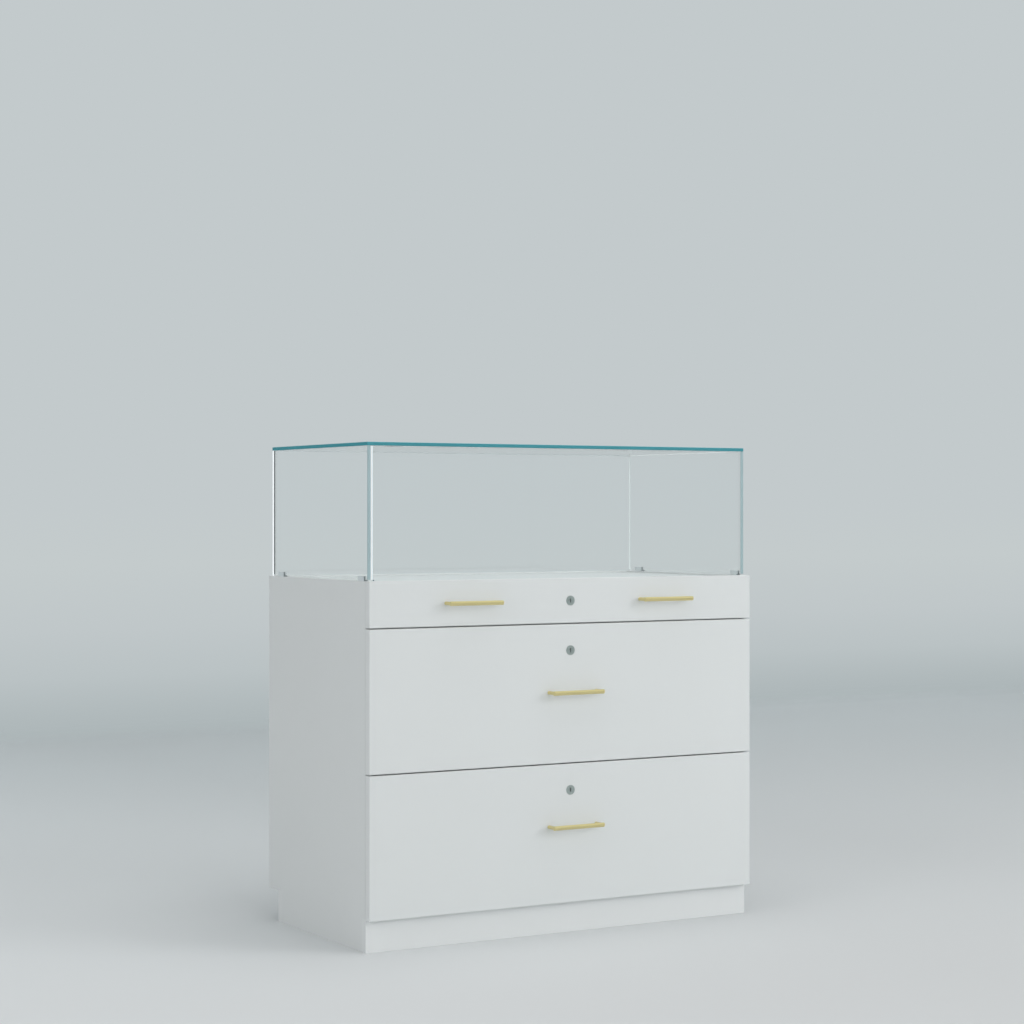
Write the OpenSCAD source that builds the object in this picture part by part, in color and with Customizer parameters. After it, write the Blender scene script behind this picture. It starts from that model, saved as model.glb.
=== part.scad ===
// Glass display counter: a white board cabinet with a pull-out display deck under a glass
// hood and two deep lockable drawers below it. Millimetres, +Z up, drawers open towards -Y.
// Origin: on the floor, midway across the width, midway between the pulls' front and the back.

/* [Cabinet] */
// Width over the side panels and over the fronts
cabinet_w = 1000; // [800:10:1300]
// Depth from the fronts' faces to the back
cabinet_d = 520; // [510:5:650]
// Thickness of the carcass boards, plinth and fronts
board_t = 18; // [16:1:19]
// Radius of the eased edges round each front's face
front_ease = 1; // [0.5:0.25:2]
// Space between one front and the next
front_gap = 3; // [2:0.5:4]
// Space between the closed fronts and the carcass behind them
front_standoff = 1; // [0.5:0.5:2]
// How far the lowest front hangs below the carcass
front_drop = 2.5; // [0:0.5:6]
// Height of the display deck's front
deck_front_h = 100; // [94:1:130]
// Height of each deep drawer's front
drawer_front_h = 310.5; // [290:0.5:360]

/* [Plinth] */
// Height of the plinth boards
plinth_h = 73; // [50:1:120]
// How far the plinth stands in from the side panels
plinth_side_set = 1; // [0:0.5:20]
// How far the plinth stands back from the carcass's front edge
plinth_front_set = 1.5; // [0:0.5:40]
// How far the plinth stands in from the cabinet's back, to clear a skirting board
plinth_back_set = 50; // [10:5:80]
// Side of the square blocks in the plinth's corners
corner_block = 38; // [30:1:50]

/* [Glass hood] */
// Thickness of every pane
glass_t = 8; // [6:1:10]
// Height of the hood's upright panes
pane_h = 288.5; // [200:0.5:420]
// Flat ground along the edges of each pane
glass_arris = 0.8; // [0.4:0.1:1.2]
// How far the side panes stand in from the cabinet's sides
hood_side_set = 4.5; // [4.5:0.5:7]
// How far the back pane stands in from the cabinet's back
hood_back_set = 9; // [6:1:20]
// Running space round the front pane, which leaves with the deck
pane_run = 1; // [0.5:0.25:2]
// Width of the polished bevel down each side of the front pane
front_bevel = 3.5; // [1:0.5:5]

/* [Hood clips] */
// Length of each angle clip
clip_len = 30; // [20:1:40]
// Height of a clip's upright leg
clip_h = 10.5; // [8:0.5:16]
// Thickness of the upright leg
clip_leg_t = 4.5; // [2.5:0.5:4.5]
// Thickness of the foot that the pane stands on
clip_foot_t = 3; // [2:0.5:5]
// Reach of the foot under the pane
clip_foot_w = 5; // [4:0.5:7]
// Radius of the clip's outer heel
clip_heel = 0.8; // [0.4:0.1:1.2]
// Distance from the hood's front to the front clips
clip_front_in = 8.5; // [8:0.5:60]
// Distance from the hood's back to the rear clips
clip_rear_in = 42; // [12:1:80]

/* [Display deck] */
// How far the deck lies below the rim of the cabinet
deck_drop = 4; // [2:0.5:8]
// Thickness of the deck board
deck_t = 16; // [15:1:19]
// Running space between the deck board and the side panels
deck_run = 1; // [0.5:0.5:2]
// Running space behind the deck board
deck_back_run = 2; // [1:0.5:6]
// Depth of the rebate that takes the front pane's tongue
rebate_h = 9; // [6:0.5:11]
// Thickness of the clear gasket round the tongue
gasket_t = 1; // [0.5:0.25:1.5]

/* [Drawer boxes] */
// Thickness of the box sides and ends
box_t = 16; // [12:1:18]
// Thickness of the box bottoms
bottom_t = 6; // [4:1:9]
// Depth of the grooves that hold the bottoms
groove_depth = 6; // [4:0.5:8]
// Height of the bottom's groove above the lower edge of the box
groove_up = 10; // [8:1:16]
// Play of a bottom in its groove
groove_play = 0.4; // [0.2:0.1:0.6]
// Running space over the rail or board below a box
box_run = 3; // [2:0.5:6]
// How far the middle drawer's support rail stands above its front's lower edge
rail_lap = 8; // [5:1:14]

/* [Slides] */
// Step between the lengths that slides are sold in; the longest one that fits is used
slide_step = 50; // [50:25:100]
// Least space between a closed slide and the back panel
slide_back_room = 10; // [5:1:40]
// Thickness of a closed slide, between cabinet and box
slide_t = 12.7; // [12.7:0.1:13.5]
// Height of the slide's cabinet member
slide_h = 45; // [42:0.5:46]
// Sheet thickness of the slide members
slide_sheet = 1.2; // [1:0.1:1.4]
// Height of the race between two members, which the balls fill
slide_race = 3.4; // [3:0.1:4]
// Height of a deep drawer's slides above the lower edge of its box
slide_up = 80; // [40:1:120]

/* [Pulls] */
// Diameter of the pull bar
pull_d = 10; // [8:0.5:14]
// Length of the pull bar
pull_len = 132; // [110:1:200]
// Diameter of the two posts
post_d = 8; // [6:0.5:8]
// Distance from a front's face to the front of the bar
pull_projection = 32; // [26:1:40]
// Distance of each deck pull from the middle
deck_pull_x = 252; // [180:1:300]
// How far the deep drawers' pulls sit to the right of the middle
drawer_pull_x = 10; // [-20:1:20]
// Distance of the middle drawer's pull below the top of its front
middle_pull_drop = 152; // [110:0.5:180]
// Distance of the lower drawer's pull below the top of its front
lower_pull_drop = 138.5; // [110:0.5:180]
// Diameter of the pull screws
screw_d = 4; // [3:0.5:5]

/* [Locks] */
// How far the locks sit to the right of the middle
lock_x = 4; // [-20:0.5:20]
// Diameter of the lock's collar
collar_d = 22; // [21:0.5:26]
// Thickness of the collar in front of the board
collar_t = 1; // [1:0.5:3]
// Diameter of the lock barrel
barrel_d = 19; // [17:0.5:20]
// Diameter of the turning plug
plug_d = 14; // [12:0.5:15]
// Width across the flats of the lock's ring nut
nut_af = 24; // [22:0.5:26]
// Thickness of the ring nut
nut_t = 4; // [3:0.5:5]
// Reach of the cam from the plug's axis
cam_len = 40; // [37:1:44]
// Width of the cam's arm
cam_w = 13; // [10:0.5:16]
// Thickness of the cam plate
cam_t = 2.5; // [2:0.5:3]
// How far the locked cam reaches behind its rail
cam_bite = 12; // [8:1:14]
// Distance of a deep drawer's lock below the top of its front
lock_drop = 58.5; // [50:0.5:70]

/* [Hidden] */
$fn = 48;

// Fits between metal pieces, and the play of a screw in a board
turn_fit = 0.05;
hole_play = 0.1;
screw_play = 0.25;

// How far a cutting shape runs past what it cuts, and a joined one into what it joins
cut_over = 1;

// How far a slide's cabinet member stands back from the carcass's front edge
slide_front_set = 1;

// Depth planes, from the fronts' faces to the back
y_face = (pull_projection - cabinet_d) / 2;
y_front_back = y_face + board_t;
y_carcass = y_front_back + front_standoff;
y_back = y_face + cabinet_d;
y_back_inside = y_back - board_t;
y_rail_back = y_carcass + board_t;

// Width planes
x_out = cabinet_w / 2;
x_in = x_out - board_t;
x_box = x_in - slide_t;
x_box_in = x_box - box_t;

// Heights of the fronts, from the floor up
z_lower_front = plinth_h - front_drop;
z_middle_front = z_lower_front + drawer_front_h + front_gap;
z_deck_front = z_middle_front + drawer_front_h + front_gap;
z_rim = z_deck_front + deck_front_h;

// Heights of the locks and pulls
z_lower_lock = z_lower_front + drawer_front_h - lock_drop;
z_middle_lock = z_middle_front + drawer_front_h - lock_drop;
z_deck_lock = z_deck_front + deck_front_h / 2;
z_lower_pull = z_lower_front + drawer_front_h - lower_pull_drop;
z_middle_pull = z_middle_front + drawer_front_h - middle_pull_drop;
z_deck_pull = z_deck_lock;

// Front rails: each one stands where the cams above and below it catch
z_lower_rail = [z_lower_lock + cam_len - cam_bite, z_middle_front + rail_lap];
z_upper_rail = [z_middle_lock + cam_len - cam_bite, z_deck_lock - cam_len + cam_bite];

// The deep drawers share one box height, set by the space under the lower lock's nut
nut_corner_d = nut_af / cos(30);
nut_clear = 2;
z_lower_box = plinth_h + board_t + box_run + nut_clear;
z_middle_box = z_lower_rail[1] + box_run;
box_h = z_lower_lock - nut_corner_d / 2 - nut_clear - z_lower_box;

// Deck board and the low box that carries it
z_deck = z_rim - deck_drop;
z_deck_under = z_deck - deck_t;
z_deck_box = z_upper_rail[1] + box_run;
deck_box_h = z_deck_under - z_deck_box;
x_deck = x_in - deck_run;
y_rebate = y_front_back + glass_t + 2 * gasket_t;
z_rebate = z_deck - rebate_h;

// Glass hood
x_pane = x_out - hood_side_set;
x_pane_in = x_pane - glass_t;
y_pane = y_front_back + gasket_t;
y_pane_back = y_back - hood_back_set;
z_pane = z_rim + clip_foot_t;
z_top_pane = z_pane + pane_h;
x_tongue = x_deck - 2 * deck_run;

// Slides: three rolled channels, one inside the other
slide_corner = 2;
slide_web_gap = 0.8;
slide_lip = slide_race - 0.8;
slide_open = 3.2;
centre_h = slide_h - 2 * (slide_sheet + slide_race);
inner_h = centre_h - 2 * (slide_sheet + slide_race);
y_slide = y_carcass + slide_front_set;
slide_len = slide_step * floor((y_back_inside - y_slide - slide_back_room) / slide_step);

// Pulls
y_pull = y_face - pull_projection + pull_d / 2;
post_x = (pull_len - post_d) / 2;
bar_chamfer = 0.5;
screw_head_d = 2 * screw_d;
screw_head_t = 2.5;
screw_in_post = 12;
screw_end_room = 1;

// Locks: barrel long enough to carry the cam past the rail
lock_air = 1.2;
cam_air = 0.5;
cam_hub_rim = 2.5;
collar_chamfer = 0.4;
y_collar = y_face - collar_t;
y_barrel_end = y_rail_back + lock_air;
y_cam = y_barrel_end + cam_air;
tail_side = 7;
tail_screw_d = 10;
tail_screw_t = 2.5;
keyway_w = 1.8;
keyway_h = 9;
keyway_deep = 14;
ward_r = 4.6;
ward_w = 1.4;
ward_deep = 1;
ward_from = 110;
ward_to = 190;

white = [0.86, 0.88, 0.88];
inside_white = [0.90, 0.90, 0.89];
glass_tint = [0.55, 0.80, 0.82, 0.35];
clear_tint = [0.85, 0.90, 0.90, 0.5];
brass_gold = [0.80, 0.69, 0.42];
zinc = [0.70, 0.72, 0.74];
satin_steel = [0.56, 0.61, 0.61];
clip_grey = [0.64, 0.67, 0.68];

// A square-edged board between two limits on each axis
module board(x, y, z) {
    translate([x[0], y[0], z[0]]) cube([x[1] - x[0], y[1] - y[0], z[1] - z[0]]);
}

// The same thing on both sides of the cabinet
module both_sides() {
    children();
    mirror([1, 0, 0]) children();
}

// A hole along Y, from one depth plane to another
module hole_y(x, z, d, y0, y1) {
    translate([x, y1, z]) rotate([90, 0, 0]) cylinder(d = d, h = y1 - y0);
}

// Outline with its two front corners rounded; the front edge lies on the first axis
module eased_outline(w, t, r) {
    translate([-w / 2 + r, 0]) square([w - 2 * r, t]);
    translate([-w / 2, r]) square([w, t - r]);
    for (side = [-1, 1]) translate([side * (w / 2 - r), r]) circle(r);
}

// A front board: face towards -Y, its four face edges eased and mitred at the corners
module eased_front(z0, h) {
    translate([0, y_face, z0]) intersection() {
        linear_extrude(h) eased_outline(cabinet_w, board_t, front_ease);
        translate([-cabinet_w / 2, 0, h / 2]) rotate([90, 0, 90])
            linear_extrude(cabinet_w) rotate(-90) eased_outline(h, board_t, front_ease);
    }
}

// Section of a pane across its thickness, with a flat arris on each edge
module arris_outline(w) {
    a = glass_arris;
    polygon([
        [a, 0], [w - a, 0], [w, a], [w, glass_t - a],
        [w - a, glass_t], [a, glass_t], [0, glass_t - a], [0, a]
    ]);
}

// A pane lying flat, corner at the origin, with the arris round both faces
module flat_pane(w, l) {
    intersection() {
        translate([0, l, 0]) rotate([90, 0, 0]) linear_extrude(l) arris_outline(w);
        rotate([90, 0, 90]) linear_extrude(w) arris_outline(l);
    }
}

// A pane standing up with its faces to the sides, in front of the back pane
module side_pane(x0) {
    translate([x0 + glass_t, y_pane, z_pane]) rotate([0, -90, 0])
        flat_pane(pane_h, y_pane_back - glass_t - y_pane);
}

// A pane standing up with its faces to front and back
module cross_pane(half_w, y0, z0, h) {
    translate([-half_w, y0 + glass_t, z0]) rotate([90, 0, 0]) flat_pane(2 * half_w, h);
}

module side_panel_left() {
    color(white) board([-x_out, -x_in], [y_carcass, y_back], [plinth_h, z_rim]);
}

module side_panel_right() {
    color(white) board([x_in, x_out], [y_carcass, y_back], [plinth_h, z_rim]);
}

module bottom_panel() {
    color(white) board([-x_in, x_in], [y_carcass, y_back_inside], [plinth_h, plinth_h + board_t]);
}

module back_panel() {
    color(white) board([-x_in, x_in], [y_back_inside, y_back], [plinth_h, z_rim]);
}

module upper_front_rail() {
    color(white) board([-x_in, x_in], [y_carcass, y_rail_back], z_upper_rail);
}

module lower_front_rail() {
    color(white) board([-x_in, x_in], [y_carcass, y_rail_back], z_lower_rail);
}

// Plinth frame: long boards at front and back, short ones between them
x_plinth = x_out - plinth_side_set;
y_plinth = y_carcass + plinth_front_set;
y_plinth_back = y_back - plinth_back_set;

module plinth_front_board() {
    color(white) board([-x_plinth, x_plinth], [y_plinth, y_plinth + board_t], [0, plinth_h]);
}

module plinth_back_board() {
    color(white) board([-x_plinth, x_plinth], [y_plinth_back - board_t, y_plinth_back], [0, plinth_h]);
}

module plinth_side_boards() {
    color(white) both_sides()
        board([x_plinth - board_t, x_plinth], [y_plinth + board_t, y_plinth_back - board_t], [0, plinth_h]);
}

module plinth_corner_blocks() {
    x_block = [x_plinth - board_t - corner_block, x_plinth - board_t];
    y_front_block = y_plinth + board_t;
    y_rear_block = y_plinth_back - board_t - corner_block;
    color(inside_white) both_sides()
        for (y0 = [y_front_block, y_rear_block])
            board(x_block, [y0, y0 + corner_block], [0, plinth_h]);
}

module hood_left_pane() {
    color(glass_tint) side_pane(-x_pane);
}

module hood_right_pane() {
    color(glass_tint) side_pane(x_pane_in);
}

// The back pane stands on the back panel and closes the rear ends of the side panes
module hood_back_pane() {
    color(glass_tint) cross_pane(x_pane, y_pane_back - glass_t, z_rim, z_top_pane - z_rim);
}

module hood_top_pane() {
    color(glass_tint) translate([-x_pane, y_pane, z_top_pane])
        flat_pane(2 * x_pane, y_pane_back - y_pane);
}

// Section of a clip: upright leg on the left, foot under the pane to its right
module clip_section() {
    difference() {
        union() {
            translate([-clip_leg_t, 0]) square([clip_leg_t, clip_h]);
            translate([-clip_leg_t, 0]) square([clip_leg_t + clip_foot_w, clip_foot_t]);
        }
        difference() {
            translate([-clip_leg_t, 0]) square(clip_heel);
            translate([-clip_leg_t + clip_heel, clip_heel]) circle(clip_heel);
        }
    }
}

// Four angle clips, all turned the same way: the leg stands left of its pane
module hood_clips() {
    y_first = y_pane + clip_front_in;
    y_second = y_pane_back - clip_rear_in - clip_len;
    color(clip_grey)
        for (x = [-x_pane, x_pane_in])
            for (y = [y_first, y_second])
                translate([x, y + clip_len, z_rim]) rotate([90, 0, 0])
                    linear_extrude(clip_len) clip_section();
}

// Outline with four rounded corners, from a to b on the first axis, centred on the second
module rolled_outline(a, b, h, r) {
    translate([a + r, -h / 2]) square([b - a - 2 * r, h]);
    translate([a, -h / 2 + r]) square([b - a, h - 2 * r]);
    for (x = [a + r, b - r])
        for (z = [-h / 2 + r, h / 2 - r])
            translate([x, z]) circle(r);
}

// Section of a rolled channel whose mouth faces +X; its lips turn in and hold the balls
module channel_section(a, b, h) {
    s = slide_sheet;
    mouth = h - 2 * s - 2 * slide_lip;
    difference() {
        rolled_outline(a, b, h, slide_corner);
        rolled_outline(a + s, b - s, h - 2 * s, slide_corner - s / 2);
        translate([b - s - cut_over, -mouth / 2]) square([s + 2 * cut_over, mouth]);
    }
}

// A pair of slide members: the section runs along the slide on both sides
module slide_pair(z) {
    both_sides() translate([-x_in, y_slide + slide_len, z]) rotate([90, 0, 0])
        linear_extrude(slide_len) children();
}

module slide_cabinet_members(z) {
    color(zinc) slide_pair(z) channel_section(0, slide_t - slide_open, slide_h);
}

module slide_centre_members(z) {
    x0 = slide_sheet + slide_web_gap;
    color(zinc) slide_pair(z) channel_section(x0, slide_t - slide_sheet - slide_web_gap, centre_h);
}

// The drawer member's mouth faces the cabinet, so its section is turned round
module slide_drawer_members(z) {
    x0 = 2 * (slide_sheet + slide_web_gap);
    color(zinc) slide_pair(z) translate([slide_t, 0]) mirror([1, 0])
        channel_section(0, slide_t - x0, inner_h);
}

// A front with the holes for its lock and its pull screws
module bored_front(z0, h, z_lock, pulls_x, z_pull) {
    y0 = y_face - cut_over;
    y1 = y_front_back + cut_over;
    color(white) difference() {
        eased_front(z0, h);
        hole_y(lock_x, z_lock, barrel_d + 2 * hole_play, y0, y1);
        for (x = pulls_x)
            for (side = [-1, 1])
                hole_y(x + side * post_x, z_pull, screw_d + 2 * screw_play, y0, y1);
    }
}

// The two long sides of a box, grooved inside for its bottom when it has one
module box_sides(z0, h, grooved) {
    y0 = y_front_back;
    color(inside_white) both_sides() difference() {
        board([x_box_in, x_box], [y0, y0 + slide_len], [z0, z0 + h]);
        if (grooved)
            board([x_box_in - cut_over, x_box_in + groove_depth],
                [y0 + box_t - groove_depth, y0 + slide_len - box_t + groove_depth],
                [z0 + groove_up, z0 + groove_up + bottom_t + groove_play]);
    }
}

// The front and back of a box, between its sides; the front is drilled for pull screws and lock
module box_ends(z0, h, grooved, pulls_x, z_pull, z_lock) {
    y0 = y_front_back;
    y1 = y0 + box_t;
    y_rear = y0 + slide_len - box_t;
    groove_z = [z0 + groove_up, z0 + groove_up + bottom_t + groove_play];
    color(inside_white) difference() {
        for (y = [y0, y_rear]) board([-x_box_in, x_box_in], [y, y + box_t], [z0, z0 + h]);
        if (grooved)
            board([-x_box, x_box],
                [y0 + box_t - groove_depth, y_rear + groove_depth],
                groove_z);
        for (x = pulls_x)
            for (side = [-1, 1])
                hole_y(x + side * post_x, z_pull, screw_d + 2 * screw_play, y0 - cut_over, y1 + cut_over);
        if (z_lock < z0 + h)
            hole_y(lock_x, z_lock, barrel_d + 2 * hole_play, y0 - cut_over, y1 + cut_over);
    }
}

module box_bottom(z0) {
    reach = groove_depth - groove_play;
    y0 = y_front_back + box_t - reach;
    y1 = y_front_back + slide_len - box_t + reach;
    color(inside_white)
        board([-x_box_in - reach, x_box_in + reach], [y0, y1],
            [z0 + groove_up, z0 + groove_up + bottom_t]);
}

// A round bar standing on the floor plane, chamfered at its upper end
module chamfered_bar(d, h, c) {
    cylinder(d = d, h = h - c);
    translate([0, 0, h - c]) cylinder(d1 = d, d2 = d - 2 * c, h = c);
}

// The bar is turned from round stock, chamfered at both ends
module pull_bar(x, z) {
    color(brass_gold) translate([x, y_pull, z])
        for (turn = [-90, 90]) rotate([0, turn, 0]) chamfered_bar(pull_d, pull_len / 2, bar_chamfer);
}

// Posts are saddled to the bar and tapped for the screws that come through the board
module pull_posts(x, z) {
    color(brass_gold)
        for (side = [-1, 1])
            difference() {
                hole_y(x + side * post_x, z, post_d, y_pull, y_face);
                translate([x - pull_len, y_pull, z]) rotate([0, 90, 0])
                    cylinder(d = pull_d + 2 * turn_fit, h = 2 * pull_len);
                hole_y(x + side * post_x, z, screw_d + 2 * turn_fit,
                    y_face - screw_in_post, y_face + cut_over);
            }
}

// Pan-head screws through box front and front into the posts
module pull_screws(x, z) {
    y_seat = y_front_back + box_t;
    y_tip = y_face - screw_in_post + screw_end_room;
    color(zinc)
        for (side = [-1, 1]) {
            hole_y(x + side * post_x, z, screw_d, y_tip, y_seat + screw_head_t / 2);
            hole_y(x + side * post_x, z, screw_head_d, y_seat, y_seat + screw_head_t);
        }
}

// Lock housing: chamfered collar against the face, barrel through the board, bored for the plug
module lock_housing(z) {
    color(satin_steel) difference() {
        union() {
            translate([lock_x, y_face, z]) rotate([90, 0, 0])
                chamfered_bar(collar_d, collar_t, collar_chamfer);
            hole_y(lock_x, z, barrel_d, y_collar + collar_t / 2, y_barrel_end);
        }
        hole_y(lock_x, z, plug_d + 2 * turn_fit, y_collar - cut_over, y_barrel_end + cut_over);
    }
}

// Ring nut that pulls the collar against the face
module lock_nut(z, y_seat) {
    color(satin_steel) difference() {
        translate([lock_x, y_seat + nut_t, z]) rotate([90, 0, 0])
            cylinder(d = nut_corner_d, h = nut_t, $fn = 6);
        hole_y(lock_x, z, barrel_d + 2 * hole_play, y_seat - cut_over, y_seat + nut_t + cut_over);
    }
}

// Curved ward mark beside the keyway, cut into the plug's face
module ward_outline() {
    intersection() {
        difference() {
            circle(ward_r);
            circle(ward_r - ward_w);
        }
        polygon([
            [0, 0],
            plug_d * [cos(ward_from), sin(ward_from)],
            plug_d * [cos((ward_from + ward_to) / 2), sin((ward_from + ward_to) / 2)],
            plug_d * [cos(ward_to), sin(ward_to)]
        ]);
    }
}

// Plug: keyway in its face, square tail for the cam and the screw head behind it
module lock_plug(z) {
    y_tail = y_cam + cam_t;
    color(satin_steel) translate([lock_x, 0, z]) {
        difference() {
            hole_y(0, 0, plug_d, y_collar, y_barrel_end);
            board([-keyway_w / 2, keyway_w / 2],
                [y_collar - cut_over, y_collar + keyway_deep],
                [-keyway_h / 2, keyway_h / 2]);
            translate([0, y_collar + ward_deep, 0]) rotate([90, 0, 0])
                linear_extrude(ward_deep + cut_over) ward_outline();
        }
        board([-tail_side / 2, tail_side / 2], [y_barrel_end - cut_over, y_tail + cut_over],
            [-tail_side / 2, tail_side / 2]);
        hole_y(0, 0, tail_screw_d, y_tail, y_tail + tail_screw_t);
    }
}

// Cam: a plate with a round hub and a narrowing arm, square-holed for the plug's tail
module lock_cam(z, turned) {
    hub_d = cam_w + 2 * cam_hub_rim;
    color(zinc) translate([lock_x, y_cam + cam_t, z]) rotate([90, 0, 0]) linear_extrude(cam_t)
        mirror([turned ? 1 : 0, 0]) difference() {
            union() {
                circle(d = hub_d);
                polygon([
                    [0, -hub_d / 2], [cam_len, -cam_w / 2],
                    [cam_len, cam_w / 2], [0, hub_d / 2]
                ]);
            }
            square(tail_side + 2 * turn_fit, center = true);
        }
}

// Display deck: the front, the board and the low box under it leave together
z_deck_slide = z_deck_box + deck_box_h / 2;
deck_pulls = [-deck_pull_x, deck_pull_x];

module deck_slide_cabinet_members() slide_cabinet_members(z_deck_slide);

module deck_slide_centre_members() slide_centre_members(z_deck_slide);

module deck_slide_drawer_members() slide_drawer_members(z_deck_slide);

module deck_front() bored_front(z_deck_front, deck_front_h, z_deck_lock, deck_pulls, z_deck_pull);

// The board covers the slides and is rebated along its front edge for the front pane
module deck_board() {
    color(white) difference() {
        board([-x_deck, x_deck], [y_front_back, y_back_inside - deck_back_run], [z_deck_under, z_deck]);
        board([-x_out, x_out], [y_front_back - cut_over, y_rebate], [z_rebate, z_deck + cut_over]);
    }
}

module deck_box_sides() box_sides(z_deck_box, deck_box_h, false);

module deck_box_ends() box_ends(z_deck_box, deck_box_h, false, deck_pulls, z_deck_pull, z_deck_lock);

// The front pane's lower corners are notched, so that its tongue passes between the sides,
// and its two upright front edges are bevelled
module front_pane() {
    half_w = x_pane_in - pane_run;
    z0 = z_rebate + gasket_t;
    reach = front_bevel + cut_over;
    color(glass_tint) difference() {
        cross_pane(half_w, y_pane, z0, z_top_pane - pane_run - z0);
        both_sides() {
            board([x_tongue, x_out],
                [y_pane - cut_over, y_pane + glass_t + cut_over],
                [z0 - cut_over, z_pane]);
            translate([half_w, y_pane, z0]) linear_extrude(z_top_pane - z0)
                polygon([[-reach, -cut_over], [cut_over, -cut_over], [cut_over, reach]]);
        }
    }
}

// A clear channel gasket wraps the tongue in its rebate
module front_pane_gasket() {
    g = gasket_t;
    color(clear_tint) difference() {
        board([-x_tongue, x_tongue], [y_front_back, y_rebate], [z_rebate, z_deck]);
        board([-x_out, x_out], [y_front_back + g, y_rebate - g], [z_rebate + g, z_deck + cut_over]);
    }
}

module deck_pull_bars() for (x = deck_pulls) pull_bar(x, z_deck_pull);

module deck_pull_posts() for (x = deck_pulls) pull_posts(x, z_deck_pull);

module deck_pull_screws() for (x = deck_pulls) pull_screws(x, z_deck_pull);

module deck_lock_housing() lock_housing(z_deck_lock);

module deck_lock_nut() lock_nut(z_deck_lock, y_front_back + box_t);

module deck_lock_plug() lock_plug(z_deck_lock);

module deck_lock_cam() lock_cam(z_deck_lock, false);

// Middle drawer
drawer_pulls = [drawer_pull_x];
z_middle_slide = z_middle_box + slide_up;

module middle_slide_cabinet_members() slide_cabinet_members(z_middle_slide);

module middle_slide_centre_members() slide_centre_members(z_middle_slide);

module middle_slide_drawer_members() slide_drawer_members(z_middle_slide);

module middle_front()
    bored_front(z_middle_front, drawer_front_h, z_middle_lock, drawer_pulls, z_middle_pull);

module middle_box_sides() box_sides(z_middle_box, box_h, true);

module middle_box_ends() box_ends(z_middle_box, box_h, true, drawer_pulls, z_middle_pull, z_middle_lock);

module middle_box_bottom() box_bottom(z_middle_box);

module middle_pull_bar() pull_bar(drawer_pull_x, z_middle_pull);

module middle_pull_posts() pull_posts(drawer_pull_x, z_middle_pull);

module middle_pull_screws() pull_screws(drawer_pull_x, z_middle_pull);

module middle_lock_housing() lock_housing(z_middle_lock);

module middle_lock_nut() lock_nut(z_middle_lock, y_front_back);

module middle_lock_plug() lock_plug(z_middle_lock);

module middle_lock_cam() lock_cam(z_middle_lock, true);

// Lower drawer
z_lower_slide = z_lower_box + slide_up;

module lower_slide_cabinet_members() slide_cabinet_members(z_lower_slide);

module lower_slide_centre_members() slide_centre_members(z_lower_slide);

module lower_slide_drawer_members() slide_drawer_members(z_lower_slide);

module lower_front()
    bored_front(z_lower_front, drawer_front_h, z_lower_lock, drawer_pulls, z_lower_pull);

module lower_box_sides() box_sides(z_lower_box, box_h, true);

module lower_box_ends() box_ends(z_lower_box, box_h, true, drawer_pulls, z_lower_pull, z_lower_lock);

module lower_box_bottom() box_bottom(z_lower_box);

module lower_pull_bar() pull_bar(drawer_pull_x, z_lower_pull);

module lower_pull_posts() pull_posts(drawer_pull_x, z_lower_pull);

module lower_pull_screws() pull_screws(drawer_pull_x, z_lower_pull);

module lower_lock_housing() lock_housing(z_lower_lock);

module lower_lock_nut() lock_nut(z_lower_lock, y_front_back);

module lower_lock_plug() lock_plug(z_lower_lock);

module lower_lock_cam() lock_cam(z_lower_lock, true);

side_panel_left();
side_panel_right();
bottom_panel();
back_panel();
upper_front_rail();
lower_front_rail();
plinth_front_board();
plinth_back_board();
plinth_side_boards();
plinth_corner_blocks();
hood_left_pane();
hood_right_pane();
hood_back_pane();
hood_top_pane();
hood_clips();
deck_slide_cabinet_members();
middle_slide_cabinet_members();
lower_slide_cabinet_members();
deck_front();
deck_board();
deck_box_sides();
deck_box_ends();
front_pane();
front_pane_gasket();
deck_pull_bars();
deck_pull_posts();
deck_pull_screws();
deck_lock_housing();
deck_lock_nut();
deck_lock_plug();
deck_lock_cam();
deck_slide_drawer_members();
deck_slide_centre_members();
middle_front();
middle_box_sides();
middle_box_ends();
middle_box_bottom();
middle_pull_bar();
middle_pull_posts();
middle_pull_screws();
middle_lock_housing();
middle_lock_nut();
middle_lock_plug();
middle_lock_cam();
middle_slide_drawer_members();
middle_slide_centre_members();
lower_front();
lower_box_sides();
lower_box_ends();
lower_box_bottom();
lower_pull_bar();
lower_pull_posts();
lower_pull_screws();
lower_lock_housing();
lower_lock_nut();
lower_lock_plug();
lower_lock_cam();
lower_slide_drawer_members();
lower_slide_centre_members();
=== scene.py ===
from math import cos, pi, radians, sin

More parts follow.
